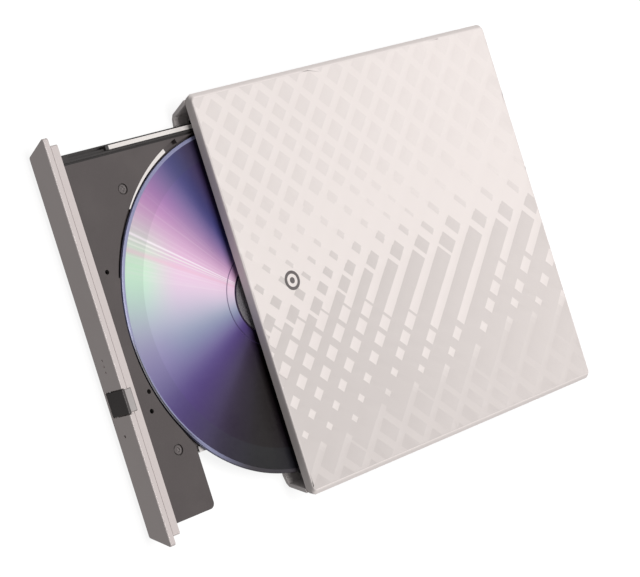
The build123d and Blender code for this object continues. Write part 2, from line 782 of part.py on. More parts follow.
def make_disc():
    profile = [
        (disc_hole_radius, disc_bottom_z), (disc_radius - 0.1, disc_bottom_z),
        (disc_radius, disc_bottom_z + 0.1), (disc_radius, disc_top_z - 0.1),
        (disc_radius - 0.1, disc_top_z), (disc_hole_radius + 0.1, disc_top_z),
        (disc_hole_radius, disc_top_z - 0.1),
    ]
    disc = turn_profile(profile)
    groove = turn_profile([(16.6, 8.25), (17.2, 8.25), (17.2, 9), (16.6, 9)])
    return on_spindle(disc - groove)


pieces = {
    "top_cover": make_top_cover,
    "bottom_cover": make_bottom_cover,
    "rubber_feet": make_rubber_feet,
    "case_screws": make_case_screws,
    "bridge_board": make_bridge_board,
    "bridge_chips": make_bridge_chips,
    "usb_socket": make_usb_socket,
    "board_screws": make_board_screws,
    "sata_socket": make_sata_socket,
    "lower_housing": make_lower_housing,
    "upper_housing": make_upper_housing,
    "housing_screws": make_lid_screws,
    "left_guide": make_left_guide,
    "right_guide": make_right_guide,
    "drive_board": make_drive_board,
    "drive_chips": make_drive_chips,
    "drive_plug": make_drive_plug,
    "latch_post": make_latch_post,
    "ejector_rod": make_ejector_rod,
    "ejector_spring": make_ejector_spring,
    "left_rail": make_left_rail,
    "rail_buffer": make_rail_buffer,
    "right_rail": make_right_rail,
    "tray": make_tray,
    "rest_pad": make_rest_pad,
    "tray_plate": make_tray_plate,
    "tray_screws": make_tray_screws,
    "front_bezel": make_front_bezel,
    "eject_button": make_eject_button,
    "light_pipe": make_light_pipe,
    "switch_board": make_switch_board,
    "latch_lever": make_latch_lever,
    "latch_solenoid": make_latch_solenoid,
    "traverse_frame": make_traverse_frame,
    "dampers": make_dampers,
    "guide_rods": make_guide_rods,
    "sled_motor": make_sled_motor,
    "lead_screw": make_lead_screw,
    "motor_base": make_motor_base,
    "stator": make_stator,
    "pickup": make_pickup,
    "lens_holder": make_lens_holder,
    "lens": make_lens,
    "rotor": make_rotor,
    "hub_balls": make_hub_balls,
    "turntable_pad": make_turntable_pad,
    "disc": make_disc,
}

os.makedirs("parts", exist_ok=True)
for name, make in pieces.items():
    export_step(make(), f"parts/{name}.step")
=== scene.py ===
import math

import bmesh
import bpy
from mathutils import Matrix, Vector


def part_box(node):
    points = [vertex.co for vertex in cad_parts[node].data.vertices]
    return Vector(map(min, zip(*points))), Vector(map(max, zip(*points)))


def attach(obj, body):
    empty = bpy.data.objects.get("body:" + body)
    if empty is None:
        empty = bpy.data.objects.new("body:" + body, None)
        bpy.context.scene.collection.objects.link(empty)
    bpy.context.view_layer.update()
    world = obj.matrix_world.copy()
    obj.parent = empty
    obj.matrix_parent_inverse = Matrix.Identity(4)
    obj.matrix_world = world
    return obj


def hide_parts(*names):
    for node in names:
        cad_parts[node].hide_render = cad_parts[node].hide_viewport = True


# An external slim disc drive with its tray half out, in metres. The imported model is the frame;
# each section below finishes one piece of it, or builds the piece again in finer detail.

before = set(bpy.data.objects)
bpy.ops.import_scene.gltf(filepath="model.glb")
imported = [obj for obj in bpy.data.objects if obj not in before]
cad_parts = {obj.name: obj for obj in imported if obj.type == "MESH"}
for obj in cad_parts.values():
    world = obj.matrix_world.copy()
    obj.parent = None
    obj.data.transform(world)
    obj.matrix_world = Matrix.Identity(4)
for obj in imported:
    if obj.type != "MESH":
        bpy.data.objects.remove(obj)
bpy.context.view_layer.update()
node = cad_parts
mm = 0.001


# ---- camera ----
# It looks down over the tray's left corner and is rolled well over, so that the drive stands
# nearly on its corner in the view.

azimuth, elevation, roll = (math.radians(degrees) for degrees in (-2.32, 47.28, 74.31))
camera_back = Vector(
    (
        math.sin(azimuth) * math.cos(elevation),
        -math.cos(azimuth) * math.cos(elevation),
        math.sin(elevation),
    )
)
level_right = (-camera_back).cross(Vector((0, 0, 1))).normalized()
level_up = level_right.cross(-camera_back)
camera_right = level_right * math.cos(roll) + level_up * math.sin(roll)
camera_up = level_up * math.cos(roll) - level_right * math.sin(roll)
lens_data = bpy.data.cameras.new("camera")
lens_data.sensor_width = 36
lens_data.lens = 124.4
lens_data.clip_start, lens_data.clip_end = 0.05, 20
camera = bpy.data.objects.new("camera", lens_data)
camera.matrix_world = Matrix.LocRotScale(
    Vector((-0.0157, -0.5307, 0.5736)),
    Matrix((camera_right, camera_up, camera_back)).transposed(),
    None,
)
bpy.context.scene.collection.objects.link(camera)
bpy.context.scene.camera = camera
bpy.context.scene.view_settings.view_transform = "Standard"


# ---- floor and lights ----
# A pale studio floor, which gives no light of its own colour back to the drive, a wide soft light
# above, and a weaker one behind on the left. The front faces stay in shade.


def link_piece(name, mesh):
    """A new object at the origin with this mesh."""
    piece = bpy.data.objects.new(name, mesh)
    bpy.context.scene.collection.objects.link(piece)
    return piece


floor_mesh = bpy.data.meshes.new("floor")
floor_mesh.from_pydata(
    [(-6, -6, 0), (6, -6, 0), (6, 6, 0), (-6, 6, 0)],
    [],
    [(0, 1, 2, 3)],
)
floor = link_piece("floor", floor_mesh)
floor.visible_diffuse = False
floor.visible_glossy = False
floor_paint = bpy.data.materials.new("floor_paint")
floor_paint.use_nodes = True
paint = floor_paint.node_tree.nodes["Principled BSDF"]
paint.inputs["Base Color"].default_value = (0.18, 0.18, 0.18, 1)
paint.inputs["Roughness"].default_value = 0.9
paint.inputs["Emission Color"].default_value = (1, 1, 1, 1)
paint.inputs["Emission Strength"].default_value = 0.86
floor_mesh.materials.append(floor_paint)

world = bpy.data.worlds.new("studio")
world.use_nodes = True
world.node_tree.nodes["Background"].inputs["Color"].default_value = (1, 0.985, 0.98, 1)
world.node_tree.nodes["Background"].inputs["Strength"].default_value = 0.275
bpy.context.scene.world = world


def soft_light(name, place, width, watts, colour):
    """A square soft light that faces the drive."""
    light = bpy.data.lights.new(name, "AREA")
    light.size = width
    light.energy = watts
    light.color = colour
    lamp = bpy.data.objects.new(name, light)
    lamp.location = place
    lamp.rotation_euler = (-Vector(place)).to_track_quat("-Z", "Y").to_euler()
    bpy.context.scene.collection.objects.link(lamp)


soft_light("overhead_light", (0.05, -0.02, 1.5), 0.9, 18.5, (1, 0.985, 0.975))
soft_light("back_light", (-0.55, 1.2, 0.9), 0.9, 2.5, (1, 0.99, 0.98))


# ---- finishes ----
# Every finish starts from one group, which gives a surface its grain, its slow changes of tone
# and the dust and rub marks of use.


def value_node(tree, operation, first, second=None):
    """A maths node; each input is a number or a socket."""
    made = tree.nodes.new("ShaderNodeMath")
    made.operation = operation
    for socket, given in zip(made.inputs, (first, second)):
        if given is None:
            continue
        if isinstance(given, bpy.types.NodeSocket):
            tree.links.new(given, socket)
        else:
            socket.default_value = given
    return made.outputs[0]


def noise_node(tree, vector, scale, detail=2.0):
    """Noise from 0 to 1 at this vector; scale is a number or a socket."""
    made = tree.nodes.new("ShaderNodeTexNoise")
    made.inputs["Detail"].default_value = detail
    tree.links.new(vector, made.inputs["Vector"])
    if isinstance(scale, bpy.types.NodeSocket):
        tree.links.new(scale, made.inputs["Scale"])
    else:
        made.inputs["Scale"].default_value = scale
    return made.outputs[0]


def ramp_value(tree, factor, low, high):
    """0 at low, 1 at high, smooth in between."""
    made = tree.nodes.new("ShaderNodeMapRange")
    made.interpolation_type = "SMOOTHSTEP"
    made.inputs["From Min"].default_value = low
    made.inputs["From Max"].default_value = high
    tree.links.new(factor, made.inputs["Value"])
    return made.outputs[0]


def mix_colour(tree, factor, first, second, blend="MIX"):
    """Two colours mixed; each is a tuple or a socket."""
    made = tree.nodes.new("ShaderNodeMix")
    made.data_type = "RGBA"
    made.blend_type = blend
    sockets = (made.inputs[0], made.inputs[6], made.inputs[7])
    for socket, given in zip(sockets, (factor, first, second)):
        if isinstance(given, bpy.types.NodeSocket):
            tree.links.new(given, socket)
        else:
            socket.default_value = given
    return made.outputs[2]


def build_surface_group():
    """Grain, slow changes of tone and wear, from a place, two colours and the grain's size."""
    group = bpy.data.node_groups.new("worked_surface", "ShaderNodeTree")
    for name, kind in (
        ("Vector", "NodeSocketVector"),
        ("Colour", "NodeSocketColor"),
        ("Worn colour", "NodeSocketColor"),
        ("Roughness", "NodeSocketFloat"),
        ("Grain scale", "NodeSocketFloat"),
        ("Grain depth", "NodeSocketFloat"),
    ):
        group.interface.new_socket(name, in_out="INPUT", socket_type=kind)
    for name, kind in (
        ("Colour", "NodeSocketColor"),
        ("Roughness", "NodeSocketFloat"),
        ("Normal", "NodeSocketVector"),
    ):
        group.interface.new_socket(name, in_out="OUTPUT", socket_type=kind)
    given = group.nodes.new("NodeGroupInput").outputs
    result = group.nodes.new("NodeGroupOutput").inputs
    grain = noise_node(group, given["Vector"], given["Grain scale"], 3.0)
    cloud = noise_node(group, given["Vector"], 45.0, 3.0)
    rubbed = ramp_value(group, cloud, 0.42, 0.72)
    specks = ramp_value(group, noise_node(group, given["Vector"], 900.0), 0.70, 0.78)
    rubbed = value_node(group, "MULTIPLY", rubbed, 0.55)
    worn = value_node(group, "ADD", rubbed, value_node(group, "MULTIPLY", specks, 0.35))
    colour = mix_colour(group, worn, given["Colour"], given["Worn colour"])
    group.links.new(colour, result["Colour"])
    shift = value_node(group, "MULTIPLY", value_node(group, "SUBTRACT", cloud, 0.5), 0.22)
    pit = value_node(group, "MULTIPLY", value_node(group, "SUBTRACT", grain, 0.5), 0.12)
    rough = value_node(group, "ADD", given["Roughness"], value_node(group, "ADD", shift, pit))
    group.links.new(rough, result["Roughness"])
    bump = group.nodes.new("ShaderNodeBump")
    bump.inputs["Distance"].default_value = 0.05 * mm
    group.links.new(given["Grain depth"], bump.inputs["Strength"])
    group.links.new(grain, bump.inputs["Height"])
    group.links.new(bump.outputs[0], result["Normal"])
    return group


worked_surface = build_surface_group()


def finish(name, colour, worn, roughness, grain, depth, metallic=0.0, stretch=(1, 1, 1), coat=0.0):
    """A material of one finish. Stretch draws the grain out along the axes with small values."""
    material = bpy.data.materials.new(name)
    material.use_nodes = True
    tree = material.node_tree
    shader = tree.nodes["Principled BSDF"]
    place = tree.nodes.new("ShaderNodeTexCoord").outputs["Object"]
    drawn = tree.nodes.new("ShaderNodeMapping")
    drawn.inputs["Scale"].default_value = stretch
    tree.links.new(place, drawn.inputs["Vector"])
    surface = tree.nodes.new("ShaderNodeGroup")
    surface.node_tree = worked_surface
    tree.links.new(drawn.outputs[0], surface.inputs["Vector"])
    surface.inputs["Colour"].default_value = (*colour, 1)
    surface.inputs["Worn colour"].default_value = (*worn, 1)
    surface.inputs["Roughness"].default_value = roughness
    surface.inputs["Grain scale"].default_value = grain
    surface.inputs["Grain depth"].default_value = depth
    tree.links.new(surface.outputs["Colour"], shader.inputs["Base Color"])
    tree.links.new(surface.outputs["Roughness"], shader.inputs["Roughness"])
    tree.links.new(surface.outputs["Normal"], shader.inputs["Normal"])
    shader.inputs["Metallic"].default_value = metallic
    shader.inputs["Coat Weight"].default_value = coat
    return material


def dress(material, *names):
    """Puts a material on CAD nodes that keep their own shape."""
    for name in names:
        for place in node[name].material_slots:
            place.material = material


# ---- bottom cover ----
# The lower shell of the case, white plastic with a fine satin texture, with the ribs, vents and
# screw posts moulded in. It keeps its own shape.

shell_white = finish("shell_white", (0.66, 0.62, 0.615), (0.60, 0.56, 0.555), 0.42, 2600, 0.35)
dress(shell_white, "bottom_cover")


# ---- top cover ----
# The lid, glossy white plastic with a woven lattice pressed into its face: stripes run across it
# both ways, as a net at the left, as long stripes in the middle and as loose squares at the right.
# Its colour also carries painted shade: a little darker towards the front, much darker on the front rim.

lid_low, lid_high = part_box("top_cover")
lid_top = lid_high.z / mm
lid_front, lid_back = lid_low.y / mm, lid_high.y / mm
lid_half = lid_high.x / mm
lattice_relief = 0.05
lattice_floor = lid_top - 0.03 - lattice_relief
face_side = lid_half - 1.8
face_near, face_far = lid_front + 0.4, lid_back - 1.8
front_corner, back_corner = 1.3, 0.9
rim_wave = 12.5


def eased(value, low, high):
    """0 at low, 1 at high, smooth in between."""
    share = min(1.0, max(0.0, (value - low) / (high - low)))
    return share * share * (3 - 2 * share)


def stripe_centres():
    """Places of the stripes that run down to the right, closer together towards the front."""
    start = 30.0
    centres = [start]
    while centres[-1] < 165:
        centres.append(centres[-1] + 8.2 + 2.8 * eased(centres[-1], 33, 66))
    while centres[0] > -60:
        centres.insert(0, centres[0] - 8.1)
    return centres


def band_centres():
    """Places of the bands that run up to the right."""
    centres = [-0.7]
    for step in (8.3, 7.6, 6.6, 6.8, 7.8, 9.3, 9.3, 7.6, 7.4, 9.5, 10.0, *[10.5] * 6):
        centres.append(centres[-1] + step)
    while centres[0] > -62:
        centres.insert(0, centres[0] - 8.05)
    return centres


def flat_place(across, along):
    """Plan place on the lid from the distances along the two diagonals, from the front's middle."""
    root = math.sqrt(2)
    return (across - along) / root, (across + along) / root + lid_front


def through(place, stops):
    """A value that passes smoothly through (place, value) stops."""
    value = stops[0][1]
    for (low, before), (high, after) in zip(stops, stops[1:]):
        if place > low:
            value = before + (after - before) * eased(place, low, high)
    return value


def squares_start(y):
    """Where dark bands begin to cut the long stripes; furthest right in the middle of the lid."""
    return through(y, ((0, 15), (35, 29), (52, 30), (80, 16)))


def squares_end(y):
    """Where the loose squares stop."""
    return through(y, ((-24, 54), (0, 47), (34, 47), (73, 39)))


def stripe_width(x):
    return through(x, ((-30, 3.0), (-14, 5.2), (5, 3.9), (25, 4.2), (50, 2.6), (58, 3.0)))


def net_width(x, y, pitch):
    """Width of the light bands between the dark squares; they vanish right of the middle."""
    wide = pitch - 1.7
    later = x - 8 * (1 - eased(y, -22, 0))
    return through(later, ((-34, 3.1), (-16, wide), (-9, wide), (8, 1.2), (9, 0.12), (50, 0.12), (58, 3.1)))


def square_width(x, y, pitch):
    """Length of the light pieces that dark bands leave of a stripe."""
    whole = pitch - 0.12
    start, end = squares_start(y), squares_end(y)
    share = (x - start) / (end - start)
    return through(share, ((0, whole), (0.03, pitch - 1.4), (0.4, 4.8), (1, 2.2), (1.25, whole)))


def shade(y):
    """Painted shade: the whole face is a little darker towards the front, where it is lit less."""
    return 0.32 * (1 - eased(y, -80, 130))


def light_tone(x, y):
    """How far the light cells are from white, painted shade included; where the squares end they darken."""
    return shade(y) + 0.64 * eased(x - squares_end(y), -4, 5)


def dark_tone(x, y):
    """How far the dark cells are from white, painted shade included."""
    left = 0.30 - 0.22 * eased(y, -35, 90)
    middle = 0.86 - 0.14 * eased(y, -10, 90)
    return shade(y) + left + (middle - left) * eased(x, -18, 4)


def lattice_mesh():
    """The lid's face as a flat net of cells, each marked light or dark."""
    stripes, bands = stripe_centres(), band_centres()
    bm = bmesh.new()
    light = bm.faces.layers.int.new("light")
    tone = bm.faces.layers.float.new("tone")
    grid, squares, nets = [], {}, {}
    for row, across in enumerate(stripes):
        for side in (-1, 1):
            beside = stripes[min(max(row + side, 0), len(stripes) - 1)]
            gap = row if side > 0 else row - 1
            line = []
            for column, along in enumerate(bands):
                before = bands[column - 1] if column else along - 10
                after = bands[column + 1] if column + 1 < len(bands) else along + 10
                x, y = flat_place(across, along)
                left = square_width(x, y, along - before)
                right = square_width(x, y, after - along)
                x, y = flat_place((across + beside) / 2, along)
                net = net_width(x, y, (after - before) / 2)
                squares[row, column], nets[gap, column] = right, net
                reach = across + side * stripe_width(flat_place(across, along)[0]) / 2
                for cut in (-max(left, net + 0.2) / 2, -net / 2, net / 2, max(right, net + 0.2) / 2):
                    line.append(bm.verts.new((*flat_place(reach, along + cut), lattice_floor)))
            grid.append(line)
    for row in range(len(grid) - 1):
        in_stripe = row % 2 == 0
        for column in range(len(grid[0]) - 1):
            here, beyond = grid[row], grid[row + 1]
            face = bm.faces.new((here[column], beyond[column], beyond[column + 1], here[column + 1]))
            band, part = divmod(column, 4)
            pitch = bands[min(band + 1, len(bands) - 1)] - bands[band]
            if in_stripe:
                shown = part < 3 or pitch - squares[row // 2, band] < 1.0
            else:
                shown = part == 1 and nets[row // 2, band] > 1.0
            face[light] = int(shown)
            middle = face.calc_center_median()
            face[tone] = light_tone(middle.x, middle.y) if shown else dark_tone(middle.x, middle.y)
    return bm


def lower_scraps(bm, light):
    """Light cells that the lid's edge has cut down to scraps go back to the floor."""
    waiting = {face for face in bm.faces if face[light]}
    while waiting:
        island, reached = set(), [waiting.pop()]
        while reached:
            face = reached.pop()
            island.add(face)
            near = {other for edge in face.edges for other in edge.link_faces} & waiting
            waiting -= near
            reached.extend(near)
        if sum(face.calc_area() for face in island) < 3:
            for face in island:
                face[light] = 0


def lid_outline():
    """(x, y, outward x, outward y) round the lid's face, anticlockwise from the front left."""
    corners = (
        (front_corner - face_side, face_near + front_corner, front_corner, 180),
        (face_side - front_corner, face_near + front_corner, front_corner, 270),
        (face_side - back_corner, face_far - back_corner, back_corner, 0),
        (back_corner - face_side, face_far - back_corner, back_corner, 90),
    )
    places = []
    for x, y, radius, first in corners:
        for step in range(9):
            turn = math.radians(first + step * 90 / 8)
            out_x, out_y = math.cos(turn), math.sin(turn)
            places.append((x + radius * out_x, y + radius * out_y, out_x, out_y))
    return places


def outward(vert):
    """Which way is out at a place on the rim of the lid's face."""
    if vert.y < (face_near + face_far) / 2:
        radius, sign_y, over_y = front_corner, -1, face_near + front_corner - vert.y
    else:
        radius, sign_y, over_y = back_corner, 1, vert.y - face_far + back_corner
    over_x = abs(vert.x) - face_side + radius
    if over_x > 1e-4 and over_y > 1e-4:
        out = Vector((math.copysign(over_x, vert.x), sign_y * over_y, 0)).normalized()
    elif abs(abs(vert.x) - face_side) < 1e-3:
        out = Vector((math.copysign(1, vert.x), 0, 0))
    else:
        out = Vector((0, sign_y, 0))
    return out


def rim_loop(bm):
    """The open edge's vertices in order."""
    start = next(edge for edge in bm.edges if edge.is_boundary)
    loop = [start.verts[0], start.verts[1]]
    while True:
        following = [
            edge.other_vert(loop[-1])
            for edge in loop[-1].link_edges
            if edge.is_boundary and edge.other_vert(loop[-1]) is not loop[-2]
        ]
        if following[0] is loop[0]:
            return loop
        loop.append(following[0])


def mark_sharp(bm, degrees):
    """Smooth faces, with sharp edges where two faces meet at more than this angle."""
    for face in bm.faces:
        face.smooth = True
    for edge in bm.edges:
        edge.smooth = len(edge.link_faces) == 2 and edge.calc_face_angle(0) < math.radians(degrees)


def as_mesh(bm, name):
    """This shape as a mesh; the working copy is freed."""
    mesh = bpy.data.meshes.new(name)
    bm.to_mesh(mesh)
    bm.free()
    return mesh


def build_lid():
    """The lattice cut to the lid's outline, its light cells raised, and the rim turned down."""
    bm = lattice_mesh()
    for x, y, out_x, out_y in lid_outline():
        bmesh.ops.bisect_plane(
            bm,
            geom=[*bm.verts, *bm.edges, *bm.faces],
            plane_co=(x, y, 0),
            plane_no=(out_x, out_y, 0),
            dist=1e-5,
            clear_outer=True,
        )
    loop = rim_loop(bm)
    light = bm.faces.layers.int["light"]
    tone = bm.faces.layers.float["tone"]
    lower_scraps(bm, light)
    raised = [face for face in bm.faces if face[light]]
    walls = bmesh.ops.inset_region(
        bm, faces=raised, thickness=0.14, depth=lattice_relief, use_boundary=True, use_even_offset=True
    )["faces"]
    for wall in walls:
        middle = wall.calc_center_median()
        wall[tone] = (light_tone(middle.x, middle.y) + dark_tone(middle.x, middle.y)) / 2
    # each ring: its height, then how far it stands out from the face's rim at the sides and front
    rings = [
        (lid_top - 0.17, 0.26, 0.22),
        (lid_top - 0.34, 0.50, 0.35),
        (lid_top - 0.55, 0.75, 0.40),
        (13.02, 1.66, 0.40),
        (12.88, 1.78, 0.40),
        (12.72, 1.74, 0.40),
        (10.85, 1.14, 0.40),
        (10.70, 1.02, 0.28),
        (10.70, -0.30, -1.10),
        (13.10, -0.30, -1.10),
    ]
    places = [(vert.co.copy(), outward(vert.co)) for vert in loop]
    for vert, (place, out) in zip(loop, places):
        if out.y < -0.9:
            vert.co.y += 0.16 * (1 + math.sin(math.tau * place.x / rim_wave))
    inner = loop
    for height, at_side, at_front in rings:
        ring = []
        for place, out in places:
            share = eased(out.y, -1, 0)
            reach = at_front * (1 - share) + at_side * share
            ring.append(bm.verts.new((place.x + out.x * reach, place.y + out.y * reach, height)))
        for count in range(len(ring)):
            after = (count + 1) % len(ring)
            face = bm.faces.new((inner[count], inner[after], ring[after], ring[count]))
            # painted shade: rim faces that look forward are darkened, as the front stays out of the light
            face[tone] = 0.95 * eased(-places[count][1].y, 0, 1)
        inner = ring
    bm.faces.new(inner)
    bmesh.ops.recalc_face_normals(bm, faces=bm.faces)
    mark_sharp(bm, 28)
    bmesh.ops.scale(bm, vec=(mm, mm, mm), verts=bm.verts)
    return as_mesh(bm, "lid")


def lid_finish():
    """Gloss white; the light cells of the lattice are brighter and smoother than the dark ones; the same
    tone darkens the front and the front rim as painted shade.
    """
    material = finish("lid_white", (0.845, 0.785, 0.765), (0.825, 0.765, 0.745), 0.44, 1500, 0.06)
    tree = material.node_tree
    shader = tree.nodes["Principled BSDF"]
    base = shader.inputs["Base Color"].links[0].from_socket
    rough = shader.inputs["Roughness"].links[0].from_socket
    cell = tree.nodes.new("ShaderNodeAttribute")
    cell.attribute_name = "tone"
    lift = value_node(tree, "MULTIPLY_ADD", cell.outputs["Fac"], -0.25)
    lift.node.inputs[2].default_value = 1.0
    scale = tree.nodes.new("ShaderNodeVectorMath")
    scale.operation = "SCALE"
    tree.links.new(base, scale.inputs[0])
    tree.links.new(lift, scale.inputs["Scale"])
    tree.links.new(scale.outputs[0], shader.inputs["Base Color"])
    matter = value_node(tree, "MULTIPLY", cell.outputs["Fac"], 0.08)
    tree.links.new(value_node(tree, "ADD", rough, matter), shader.inputs["Roughness"])
    return material


lid = link_piece("lid", build_lid())
lid.data.materials.append(lid_finish())
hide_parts("top_cover")
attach(lid, "case")


# ---- printed mark ----
# A plain ring and dot, printed in dark grey ink on the lid near its front edge. It stands a few
# hundredths of a millimetre proud of the plastic.


def turned(profile, steps):
    """A mesh turned about Z from (radius, height) pairs in mm; outside faces from the top down."""
    mesh = bpy.data.meshes.new("profile")
    edges = [(count, count + 1) for count in range(len(profile) - 1)]
    mesh.from_pydata([(radius * mm, 0, height * mm) for radius, height in profile], edges, [])
    piece = link_piece("profile", mesh)
    turn = piece.modifiers.new("turn", "SCREW")
    turn.steps = turn.render_steps = steps
    turn.use_merge_vertices = True
    turn.merge_threshold = 1e-6
    bpy.context.view_layer.update()
    ready = piece.evaluated_get(bpy.context.evaluated_depsgraph_get())
    bm = bmesh.new()
    bm.from_mesh(ready.to_mesh())
    ready.to_mesh_clear()
    bpy.data.objects.remove(piece)
    bmesh.ops.remove_doubles(bm, verts=bm.verts, dist=1e-7)
    bmesh.ops.recalc_face_normals(bm, faces=bm.faces)
    return bm


def joined(shapes, name):
    """One mesh of several (shape, x, y), each moved to its place."""
    whole = bmesh.new()
    for shape, x, y in shapes:
        mark_sharp(shape, 30)
        bmesh.ops.translate(shape, vec=(x, y, 0), verts=shape.verts)
        held = as_mesh(shape, "held")
        whole.from_mesh(held)
        bpy.data.meshes.remove(held)
    return as_mesh(whole, name)


ink_top, ink_foot = lid_top - 0.005, lid_top - 0.04
dot_radius, ring_inside, ring_outside = 1.1, 2.3, 3.4
mark_x, mark_y = -0.5 * mm, -26 * mm
dot = turned([(0, ink_top), (dot_radius, ink_top), (dot_radius, ink_foot), (0, ink_foot)], 64)
ring = turned(
    [
        (ring_inside, ink_top), (ring_outside, ink_top), (ring_outside, ink_foot),
        (ring_inside, ink_foot), (ring_inside, ink_top),
    ],
    64,
)
printed_mark = link_piece(
    "printed_mark",
    joined([(dot, mark_x, mark_y), (ring, mark_x, mark_y)], "printed_mark"),
)
mark_ink = finish("mark_ink", (0.12, 0.105, 0.105), (0.15, 0.135, 0.135), 0.5, 2200, 0.2)
printed_mark.data.materials.append(mark_ink)
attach(printed_mark, "case")


# ---- front bezel, with the button and its lamp ----
# The tray's front: one white moulding with a thin flange. The charcoal eject button sits in a slot
# through it, and a clear bar behind the button shows the lamp.

bezel_white = finish("bezel_white", (0.60, 0.545, 0.535), (0.565, 0.51, 0.50), 0.36, 1900, 0.18, coat=0.15)
dress(bezel_white, "front_bezel")
button_grey = finish("button_grey", (0.052, 0.045, 0.045), (0.075, 0.066, 0.066), 0.40, 2400, 0.4)
dress(button_grey, "eject_button")
lamp_bar = finish("lamp_bar", (0.40, 0.375, 0.37), (0.48, 0.455, 0.45), 0.22, 1200, 0.1, coat=0.4)
dress(lamp_bar, "light_pipe")


# ---- tray and its rails ----
# Dark warm grey plastic with a fine spark texture; two bright pressed rails run along its sides
# in black acetal guides, and the tray's left edge is painted near black as the shade of its deep groove.

tray_grey = finish("tray_grey", (0.066, 0.054, 0.054), (0.090, 0.076, 0.075), 0.50, 3200, 0.9)
tray_tree = tray_grey.node_tree
tray_shader = tray_tree.nodes["Principled BSDF"]
tray_colour = tray_shader.inputs["Base Color"].links[0].from_socket
tray_place = tray_tree.nodes.new("ShaderNodeSeparateXYZ")
tray_tree.links.new(tray_tree.nodes.new("ShaderNodeTexCoord").outputs["Object"], tray_place.inputs[0])
# painted shade: left of its edge groove the tray's colour goes most of the way to black
groove_shade_from, groove_shade_full = -57.9 * mm, -58.1 * mm
painted_groove_shade = ramp_value(tray_tree, tray_place.outputs["X"], groove_shade_from, groove_shade_full)
painted_groove_shade = value_node(tray_tree, "MULTIPLY", painted_groove_shade, 0.8)
tray_tree.links.new(
    mix_colour(tray_tree, painted_groove_shade, tray_colour, (0.01, 0.009, 0.009, 1)),
    tray_shader.inputs["Base Color"],
)
dress(tray_grey, "tray")
rail_bright = finish(
    "rail_bright", (0.95, 0.91, 0.88), (0.80, 0.77, 0.75), 0.26, 900, 0.5, 0.35, (1, 0.04, 1)
)
dress(rail_bright, "left_rail", "right_rail")
guide_black = finish("guide_black", (0.028, 0.026, 0.026), (0.05, 0.047, 0.046), 0.45, 1800, 0.4)
dress(guide_black, "left_guide", "right_guide", "rail_buffer", "sata_socket", "drive_plug", "lens_holder")
pad_white = finish("pad_white", (0.80, 0.765, 0.75), (0.70, 0.665, 0.65), 0.62, 2600, 0.6)
dress(pad_white, "rest_pad")


# ---- screws ----
# Pan heads with a cross slot: black ones in the tray and the case, plated ones inside.

screw_black = finish("screw_black", (0.07, 0.066, 0.066), (0.20, 0.19, 0.18), 0.34, 1400, 0.4, 0.9)
dress(screw_black, "case_screws")
screw_plated = finish("screw_plated", (0.52, 0.51, 0.50), (0.40, 0.39, 0.37), 0.30, 1400, 0.4, 1.0)
dress(screw_plated, "board_screws", "housing_screws", "ejector_spring")


def deck_screw():
    """A round head with a four-way socket, and a plain shank."""
    head, shank, socket, tip = head_radius / mm, 0.75, 0.9, 0.5
    screw = turned(
        [
            (0, screw_top - 0.42), (0.3, screw_top - 0.40), (0.8, screw_top - 0.34),
            (socket, screw_top - 0.03), (1.05, screw_top), (1.42, screw_top),
            (1.55, screw_top - 0.08), (head, screw_top - 0.25), (head, screw_top - 0.5),
            (shank, screw_top - 0.5), (shank, screw_foot + 0.3), (tip, screw_foot), (0, screw_foot),
        ],
        48,
    )
    for vert in screw.verts:
        if vert.co.xy.length < (socket + 0.05) * mm and vert.co.z > (screw_top - 0.45) * mm:
            turn = math.atan2(vert.co.y, vert.co.x)
            vert.co.xy = vert.co.xy * (0.55 + 0.45 * math.cos(2 * turn) ** 2)
    return screw


screws_low, screws_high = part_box("tray_screws")
screw_foot, screw_top = screws_low.z / mm, screws_high.z / mm
head_radius = 1.6 * mm
deck_screws = link_piece(
    "deck_screws",
    joined(
        [
            (deck_screw(), screws_low.x + head_radius, screws_high.y - head_radius),
            (deck_screw(), screws_high.x - head_radius, screws_low.y + head_radius),
        ],
        "deck_screws",
    ),
)
screw_head = finish("screw_head", (0.135, 0.12, 0.12), (0.20, 0.185, 0.18), 0.40, 1400, 0.4, 0.45)
deck_screws.data.materials.append(screw_head)
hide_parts("tray_screws")
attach(deck_screws, "tray")
